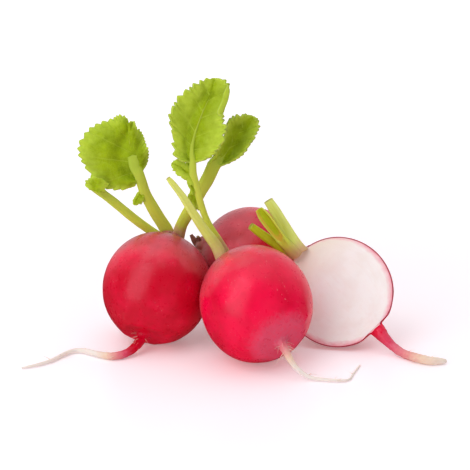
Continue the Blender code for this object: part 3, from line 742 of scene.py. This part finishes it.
def add_blade(shape, blade, board, number):
    """A blade as a closed leaf of real thickness, thicker along its veins."""
    rows = blade_grid(blade)
    last, columns = len(rows) - 1, len(rows[0])
    layers = []
    for below in (False, True):
        grid = []
        for i, row in enumerate(rows):
            line = []
            for j, (place, vein, s) in enumerate(row):
                down = rows[min(i + 1, last)][j][0] - rows[max(i - 1, 0)][j][0]
                across = row[min(j + 1, columns - 1)][0] - row[max(j - 1, 0)][0]
                normal = across.cross(down)
                normal = normal.normalized() if normal.length > 1e-6 else Vector((0.0, 0.0, 1.0))
                if normal.z < 0:
                    normal = -normal
                half = 0.5 * BLADE_THICKNESS + 0.5 * VEIN_HEIGHT * vein * (1.0 if below else 0.3)
                moved = place + normal * half * (-1 if below else 1)
                tone = (vein, s ** blade.get("rim", 1.0), ON_UNDERSIDE if below else ON_TOP)
                spot = Vector((place.x, place.y, BLADE_SPOTS_APART * number))
                line.append(shape.point(board @ moved, spot, tone))
            grid.append(line)
        layers.append(grid)
    upper, lower = layers
    for i in range(last):
        for j in range(columns - 1):
            shape.face((upper[i][j], upper[i][j + 1], upper[i + 1][j + 1], upper[i + 1][j]))
            shape.face((lower[i][j], lower[i + 1][j], lower[i + 1][j + 1], lower[i][j + 1]))
    edge = [(0, j) for j in range(columns)] + [(i, columns - 1) for i in range(1, last + 1)]
    edge += [(last, j) for j in range(columns - 2, -1, -1)] + [(i, 0) for i in range(last - 1, 0, -1)]
    for k, (i, j) in enumerate(edge):
        m, n = edge[(k + 1) % len(edge)]
        shape.face((upper[i][j], lower[i][j], lower[m][n], upper[m][n]))


def leaf_shape(leaf):
    """A leaf: its stalk runs on as the midrib of its first blade, and its blades grow from it."""
    shape = Shape()
    board = board_matrix(leaf["route"][-1][0])
    first = leaf["blades"][0]["midrib"]
    stalk_points = len(leaf["route"])
    route = [placed(p) for p, _ in leaf["route"]]
    route += [board @ Vector((x, y, 0.0)) for x, y in first[1:]]
    widths = [w for _, w in leaf["route"]] + leaf["rib_widths"]
    stalk_share = (stalk_points - 1) / (len(route) - 1)
    brown = leaf.get("brown", 0.0)
    add_stalk(shape, route, widths, leaf, lambda t, inside: (t / stalk_share - brown, inside, ON_STALK))
    for number, blade in enumerate(leaf["blades"]):
        add_blade(shape, blade, board, number + 1)
    return shape


class Look:
    """A material built from nodes: its shader, and short ways to add textures that drive it."""

    def __init__(self, name, **settings):
        self.material = bpy.data.materials.new(name)
        self.material.use_nodes = True
        self.tree = self.material.node_tree
        self.shader = self.tree.nodes["Principled BSDF"]
        for socket, value in settings.items():
            self.shader.inputs[socket.replace("_", " ")].default_value = value

    def add(self, kind, outlet=0, sockets=None, **settings):
        """Adds a node, sets or links its sockets, and gives the outlet."""
        node = self.tree.nodes.new("ShaderNode" + kind)
        for key, value in settings.items():
            setattr(node, key, value)
        for key, value in (sockets or {}).items():
            self.feed(node.inputs[key], value)
        return node.outputs[outlet]

    def feed(self, socket, value):
        if isinstance(value, bpy.types.NodeSocket):
            self.tree.links.new(value, socket)
        else:
            socket.default_value = value

    def drive(self, socket, value):
        self.tree.links.new(value, self.shader.inputs[socket])

    def held(self, title):
        return self.add("Attribute", 1, attribute_name=title)

    def stretched(self, vector, scale):
        return self.add("Mapping", 0, {"Vector": vector, "Scale": scale})

    def noise(self, vector, scale, detail=3.0, roughness=0.55):
        sockets = {"Vector": vector, "Scale": scale, "Detail": detail, "Roughness": roughness}
        return self.add("TexNoise", 0, sockets)

    def band(self, value, low, high, to_low=0.0, to_high=1.0):
        """value moved from low..high to to_low..to_high, and kept within them."""
        spans = {"Value": value, "From Min": low, "From Max": high, "To Min": to_low, "To Max": to_high}
        return self.add("MapRange", 0, spans)

    def mottle(self, texture, low, high, to_low=0.0, to_high=1.0):
        """A band of a noise whose vector, scale, detail and roughness are given as texture."""
        return self.band(self.noise(*texture), low, high, to_low, to_high)

    def sum(self, first, second):
        return self.add("Math", 0, {0: first, 1: second}, operation="ADD")

    def product(self, first, second):
        return self.add("Math", 0, {0: first, 1: second}, operation="MULTIPLY")

    def mix(self, share, first, second):
        """Mixes two colours, each of them a socket or three numbers."""
        node = self.tree.nodes.new("ShaderNodeMix")
        node.data_type = "RGBA"
        self.feed(node.inputs["Factor"], share)
        for place, colour in ((6, first), (7, second)):
            self.feed(node.inputs[place], (*colour, 1.0) if isinstance(colour, tuple) else colour)
        return node.outputs[2]

    def tint(self, colour, second, value, low, high, most=1.0):
        """Mixes a second colour in, up to most of it, as value goes from low to high."""
        return self.mix(self.band(value, low, high, 0.0, most), colour, second)

    def ramp(self, value, stops):
        """A colour that follows value through stops of (place, colour)."""
        node = self.tree.nodes.new("ShaderNodeValToRGB")
        ramp = node.color_ramp
        while len(ramp.elements) < len(stops):
            ramp.elements.new(0.5)
        for element, (place, colour) in zip(ramp.elements, stops):
            element.position = place
            element.color = (*colour, 1.0)
        self.feed(node.inputs["Fac"], value)
        return node.outputs["Color"]

    def tones(self):
        node = self.tree.nodes.new("ShaderNodeSeparateXYZ")
        self.feed(node.inputs[0], self.held("tone"))
        return node.outputs[0], node.outputs[1], node.outputs[2]

    def relief(self, height, strength, distance):
        bump = self.add("Bump", 0, {"Height": height, "Strength": strength, "Distance": distance * MM})
        self.drive("Normal", bump)


# Colours, as linear red, green and blue
# The deep and bright reds are the red's own patches, and also the ends that painted shade and painted light
# push each root's red towards.
RED_DEEP_AND_SHADED = (0.60, 0.0003, 0.018)
RED_BRIGHT_AND_LIT = (0.91, 0.0008, 0.052)
# This pale red colours the scuffs, and also the painted sheen near the crown.
RED_SCUFFED_AND_SHEEN = (0.84, 0.16, 0.19)
FLECK_PINK = (0.88, 0.42, 0.38)
# A duller red that carries painted shade near the crown.
CROWN_DULL_AND_SHADED = (0.36, 0.025, 0.045)
CROWN_BROWN = (0.36, 0.13, 0.10)
TAIL_RED = (0.73, 0.085, 0.16)
TAIL_SALMON = (0.77, 0.25, 0.26)
TAIL_CREAM = (0.85, 0.63, 0.47)
TAIL_GREY = (0.88, 0.81, 0.74)
FLESH_WHITE = (0.99, 0.93, 0.91)
FLESH_CLEAR = (0.90, 0.77, 0.73)
FLESH_CREAM = (0.90, 0.80, 0.66)
FLESH_PINK = (0.88, 0.34, 0.42)
RIM_RED = (0.36, 0.004, 0.03)
LEAF_PALE_AND_LIT = (0.50, 0.64, 0.055)
LEAF_MID = (0.33, 0.45, 0.002)
LEAF_DARK = (0.20, 0.28, 0.001)
LEAF_UNDER = (0.43, 0.53, 0.13)
VEIN_PALE = (0.44, 0.55, 0.05)
STALK_BASE = (0.60, 0.33, 0.20)
STALK_YELLOW = (0.69, 0.71, 0.04)
STALK_GREEN = (0.41, 0.52, 0.05)
STALK_PALE = (0.78, 0.84, 0.26)
STALK_OLIVE = (0.51, 0.58, 0.003)
STALK_DARK = (0.20, 0.03, 0.07)
STALK_RIM = (0.66, 0.42, 0.03)
HOLLOW_GREEN = (0.42, 0.55, 0.006)
CUT_BROWN = (0.30, 0.22, 0.07)


def skin_red(look, spot, painted_light_tone, lines):
    """The red of a root: its patches, pushed deeper by painted shade or brighter by painted light, streaks
    along it, scuffs across it and pale flecks.
    """
    # Painted shade shifts a root's patches towards the deep red, and painted light towards the bright red.
    patches = look.sum(look.mottle((spot, 0.09, 4.0), 0.35, 0.68), painted_light_tone)
    colour = look.mix(patches, RED_DEEP_AND_SHADED, RED_BRIGHT_AND_LIT)
    streaks = look.noise(look.stretched(spot, (0.9, 0.9, 0.06)), 1.0, 3.0)
    colour = look.tint(colour, RED_BRIGHT_AND_LIT, streaks, 0.5, 0.8, 0.25)
    scuff_area = look.mottle((spot, 0.16, 2.0), 0.5, 0.72)
    scuffs = look.product(look.band(lines, 0.6, 0.74, 0.0, 0.45), scuff_area)
    colour = look.mix(scuffs, colour, RED_SCUFFED_AND_SHEEN)
    flecks = look.band(look.noise(look.stretched(spot, (2.2, 2.2, 0.8)), 1.0, 2.0), 0.66, 0.74, 0.0, 0.6)
    flecks = look.product(flecks, look.mottle((spot, 0.13, 2.0), 0.48, 0.62))
    return look.mix(flecks, colour, FLECK_PINK)


def crown_sheen_shade_and_brown(look, spot, crown, colour):
    """The colour of a root towards the crown: paler with a painted sheen, then a duller red darkened by
    painted shade, and then brown.
    """
    dull_sheen_shade = look.sum(crown, look.mottle((spot, 0.2, 3.0), 0.3, 0.7, -3.0, 3.0))
    # Painted sheen: a paler band from 17 to 10 mm from the crown.
    colour = look.tint(colour, RED_SCUFFED_AND_SHEEN, dull_sheen_shade, 17.0, 10.0, 0.42)
    # A duller red with painted shade from 13 mm in to the crown.
    colour = look.tint(colour, CROWN_DULL_AND_SHADED, dull_sheen_shade, 13.0, 3.0, 0.7)
    crown_edge = look.sum(crown, look.mottle((spot, 0.8, 4.0), 0.2, 0.8, -1.6, 1.6))
    return look.tint(colour, CROWN_BROWN, crown_edge, 3.2, -0.8, 0.9)


def faded_tail(look, spot, fade, colour):
    """The colour of a root, which turns salmon, cream and then grey along the tail."""
    mottle = look.mottle((spot, 1.1, 4.0, 0.7), 0.3, 0.7, -0.16, 0.16)
    place = look.sum(fade, mottle)
    stops = [(0.0, TAIL_RED), (0.16, TAIL_RED), (0.34, TAIL_SALMON), (0.55, TAIL_CREAM), (0.85, TAIL_GREY)]
    tail = look.ramp(look.band(place, -0.5, 2.5), stops)
    return look.tint(colour, tail, place, -0.6, 0.05)


def skin_look():
    """Thin waxy red skin, scuffed and freckled, with painted light and shade on each root, a painted sheen
    and painted shade towards the brown crown, and fading along the tail.
    """
    look = Look(
        "radish_skin", Coat_Weight=0.06, Coat_Roughness=0.16,
        Specular_IOR_Level=0.46, Specular_Tint=(1.0, 0.6, 0.75, 1.0),
        Subsurface_Weight=0.06, Subsurface_Radius=(1.0, 0.2, 0.1), Subsurface_Scale=1.5 * MM,
    )
    spot = look.held("spot")
    fade, crown, painted_light_tone = look.tones()
    lines = look.noise(look.stretched(spot, (0.25, 0.25, 3.2)), 1.0, 5.0, 0.65)
    colour = crown_sheen_shade_and_brown(look, spot, crown, skin_red(look, spot, painted_light_tone, lines))
    look.drive("Base Color", faded_tail(look, spot, fade, colour))
    rough = look.mottle((spot, 0.5, 4.0), 0.3, 0.7, 0.25, 0.35)
    look.drive("Roughness", look.sum(rough, look.band(fade, 0.0, 1.0, 0.0, 0.22)))
    grain = look.sum(look.noise(spot, 2.4, 5.0, 0.6), look.product(lines, 0.7))
    look.relief(grain, 0.22, 0.12)
    return look.material


def flesh_look():
    """Wet white flesh with faint fibres and clear patches, pink under the thin dark red rim of skin."""
    look = Look(
        "radish_flesh", Roughness=0.38, Coat_Weight=0.1, Coat_Roughness=0.2,
        Subsurface_Weight=0.25, Subsurface_Radius=(1.0, 0.6, 0.5), Subsurface_Scale=1.2 * MM,
    )
    spot = look.held("spot")
    _, _, rim = look.tones()
    clear = look.mottle((spot, 0.12, 4.0, 0.6), 0.42, 0.72, 0.0, 0.55)
    colour = look.mix(clear, FLESH_WHITE, FLESH_CLEAR)
    cream = look.add("SeparateXYZ", 2, {0: spot})
    colour = look.tint(colour, FLESH_CREAM, cream, 6.0, 15.0, 0.7)
    fibres = look.noise(look.stretched(spot, (1.1, 1.1, 0.12)), 1.0, 4.0, 0.6)
    colour = look.tint(colour, FLESH_CLEAR, fibres, 0.52, 0.75, 0.3)
    ragged = look.sum(rim, look.mottle((spot, 0.5, 4.0), 0.3, 0.7, -0.35, 0.35))
    ragged = look.sum(ragged, look.band(cream, 2.0, 14.0, 0.0, 1.0))
    colour = look.tint(colour, FLESH_PINK, ragged, 2.1, 0.35, 0.95)
    colour = look.tint(colour, RIM_RED, rim, 0.42, 0.3)
    look.drive("Base Color", colour)
    look.relief(look.noise(spot, 1.6, 5.0, 0.6), 0.12, 0.1)
    return look.material


def stalk_colour(look, along, spot, tint, brown_share):
    """The colour of a stalk from its brownish base to its top: pale, olive or dark by its tint."""
    base = look.tint(STALK_PALE, STALK_OLIVE, tint, 0.0, 1.0)
    streaks = look.noise(look.stretched(spot, (1.6, 1.6, 0.1)), 1.0, 4.0)
    colour = look.tint(base, STALK_YELLOW, streaks, 0.35, 0.7, 0.5)
    ragged = look.sum(along, look.mottle((spot, 0.9, 4.0), 0.3, 0.7, -0.03, 0.03))
    colour = look.tint(colour, STALK_BASE, ragged, brown_share, 0.05, 0.85)
    return look.tint(colour, STALK_DARK, tint, 1.5, 2.0, 0.9)


def stub_look():
    """A trimmed stalk: ribbed, pale to olive, brown at its base and dried dark at its cut end."""
    look = Look(
        "radish_stalk", Roughness=0.5, Specular_IOR_Level=0.22,
        Subsurface_Weight=0.15, Subsurface_Radius=(0.8, 1.0, 0.3), Subsurface_Scale=0.8 * MM,
    )
    spot = look.held("spot")
    along, channel, tint = look.tones()
    colour = stalk_colour(look, along, spot, tint, 0.28)
    colour = look.tint(colour, STALK_RIM, channel, 0.18, 0.26, 0.75)
    colour = look.tint(colour, HOLLOW_GREEN, channel, 0.36, 0.46, 0.95)
    ragged = look.sum(along, look.mottle((spot, 1.2, 4.0), 0.3, 0.7, -0.015, 0.015))
    colour = look.tint(colour, CUT_BROWN, ragged, 0.97, 1.0, 0.6)
    look.drive("Base Color", colour)
    ribs = look.noise(look.stretched(spot, (3.0, 3.0, 0.15)), 1.0, 4.0)
    look.relief(ribs, 0.3, 0.15)
    return look.material


def leaf_look():
    """A young leaf: yellow-green blade with pale veins, lighter towards its edge by its paler margin and by
    painted light, and a yellowish stalk.
    """
    look = Look(
        "radish_leaf", Roughness=0.6, Specular_IOR_Level=0.12,
        Subsurface_Weight=0.2, Subsurface_Radius=(0.7, 1.0, 0.2), Subsurface_Scale=0.6 * MM,
    )
    spot = look.held("spot")
    first, second, kind = look.tones()
    patches = look.mottle((spot, 0.22, 4.0, 0.6), 0.32, 0.68)
    blade = look.mix(patches, LEAF_DARK, LEAF_MID)
    # The lighter edge is partly the leaf's paler margin and partly painted light on its lit margins.
    edge = look.sum(second, look.mottle((spot, 0.4), 0.3, 0.7, -0.2, 0.2))
    blade = look.tint(blade, LEAF_PALE_AND_LIT, edge, 0.3, 1.0)
    net = look.add("TexVoronoi", 0, {"Vector": spot, "Scale": 1.3}, feature="DISTANCE_TO_EDGE")
    blade = look.tint(blade, VEIN_PALE, net, 0.07, 0.0, 0.3)
    blade = look.tint(blade, VEIN_PALE, first, 0.2, 0.8, 0.6)
    blade = look.tint(blade, LEAF_UNDER, kind, 1.0, 2.0, 0.65)
    stalk = stalk_colour(look, first, spot, 0.65, 0.14)
    stalk = look.tint(stalk, STALK_GREEN, first, 0.5, 1.1)
    colour = look.tint(stalk, blade, kind, 0.4, 0.6)
    look.drive("Base Color", colour)
    height = look.sum(look.band(net, 0.0, 0.12), look.noise(spot, 2.5, 3.0))
    look.relief(height, 0.25, 0.12)
    return look.material


def finish_piece(obj, node):
    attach(obj, "root")
    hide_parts(node)


def make_bunch():
    chance = random.Random(SEED)
    skin, flesh, stalk, green = skin_look(), flesh_look(), stub_look(), leaf_look()
    for name, root in ROOTS.items():
        cut = None
        if name == "half":
            axis = Vector(root["crown"]).normalized()
            cut = (HALF_FACE - axis * HALF_FACE.dot(axis)).normalized()
        shape, stations = root_shape(root, cut)
        add_hairs(shape, root, stations, chance)
        obj = shape.piece(name + "_root_grown", [skin, flesh] if cut else [skin])
        if cut:
            sharpen_cut(obj.data)
        finish_piece(obj, name + "_root")
    for name, stub in STUBS.items():
        finish_piece(stub_shape(stub).piece(name + "_grown", [stalk]), name)
    for name, leaf in LEAVES.items():
        finish_piece(leaf_shape(leaf).piece(name + "_grown", [green]), name)


def sharpen_cut(mesh):
    """Keeps the edge between flesh and skin crisp."""
    sides = {}
    for polygon in mesh.polygons:
        for key in polygon.edge_keys:
            sides.setdefault(key, set()).add(polygon.material_index)
    for edge in mesh.edges:
        edge.use_edge_sharp = len(sides[edge.key]) == 2


def area_light(name, place, size, power):
    """A softbox that faces the bunch and isn't seen itself."""
    data = bpy.data.lights.new(name, "AREA")
    data.shape = "RECTANGLE"
    data.size, data.size_y = size
    data.energy = power
    lamp = add_object(name, data)
    lamp.location = place
    lamp.rotation_euler = (Vector((0.0, 0.0, 0.03)) - Vector(place)).to_track_quat("-Z", "Y").to_euler()
    lamp.visible_camera = False
    return lamp


def make_studio():
    """A plain floor, pinkish white so that painted red bounce light shows in its shade, glowing as painted
    light more strongly away from the bunch, with a white surround and soft lights.
    """
    mesh = bpy.data.meshes.new("floor")
    half = 4.0
    corners = [(-half, -half, 0), (half, -half, 0), (half, half, 0), (-half, half, 0)]
    mesh.from_pydata(corners, [], [(0, 1, 2, 3)])
    floor = add_object("floor", mesh)
    # The pinkish base colour shows only where the floor is shaded, as painted red bounce light and
    # reflection.
    look = Look(
        "floor_painted_bounce_and_glow",
        Roughness=0.35,
        Specular_IOR_Level=0.3,
        Base_Color=(0.95, 0.86, 0.92, 1.0),
        Emission_Color=(1.0, 1.0, 1.0, 1.0),
    )
    # The floor glows as painted light, weaker near the bunch so its shadows stay, and stronger further out.
    reach = look.add("VectorMath", 1, {0: look.add("NewGeometry")}, operation="LENGTH")
    look.drive("Emission Strength", look.band(reach, 0.08, 0.5, 0.2, 0.5))
    mesh.materials.append(look.material)
    floor.visible_glossy = False
    make_surround()
    area_light("key", (-0.54, -0.55, 0.50), (0.66, 1.25), 5.5)
    area_light("above", (0.0, 0.10, 0.95), (0.9, 0.9), 1.4)
    fill = area_light("fill", (0.50, -0.75, 0.30), (0.8, 0.6), 1.75)
    fill.visible_glossy = False


def make_surround():
    """A white room that is bright above and behind the bunch, and darker on the camera's side."""
    world = bpy.data.worlds.new("surround")
    world.use_nodes = True
    tree = world.node_tree
    directions = tree.nodes.new("ShaderNodeTexCoord")
    slope = tree.nodes.new("ShaderNodeVectorMath")
    slope.operation = "DOT_PRODUCT"
    slope.inputs[1].default_value = (0.0, 0.6, 0.9)
    strength = tree.nodes.new("ShaderNodeMapRange")
    strength.interpolation_type = "SMOOTHSTEP"
    for key, value in (("From Min", 0.2), ("From Max", 0.75), ("To Min", 0.04), ("To Max", 0.8)):
        strength.inputs[key].default_value = value
    background = tree.nodes["Background"]
    background.inputs["Color"].default_value = (1.0, 1.0, 1.0, 1.0)
    tree.links.new(directions.outputs["Generated"], slope.inputs[0])
    tree.links.new(slope.outputs["Value"], strength.inputs["Value"])
    tree.links.new(strength.outputs["Result"], background.inputs["Strength"])
    bpy.context.scene.world = world


def make_camera():
    """The camera stands where the photo was taken from."""
    data = bpy.data.cameras.new("camera")
    data.lens = CAMERA_LENS
    data.sensor_width = CAMERA_SENSOR
    camera = add_object("camera", data)
    camera.location = CAMERA_PLACE
    camera.rotation_euler = (math.radians(CAMERA_TILT), 0.0, 0.0)
    bpy.context.scene.camera = camera
    bpy.context.scene.view_settings.view_transform = "Standard"


for leftover in ("Cube", "Light", "Camera"):
    if leftover in bpy.data.objects:
        bpy.data.objects.remove(bpy.data.objects[leftover])
make_bunch()
make_studio()
make_camera()
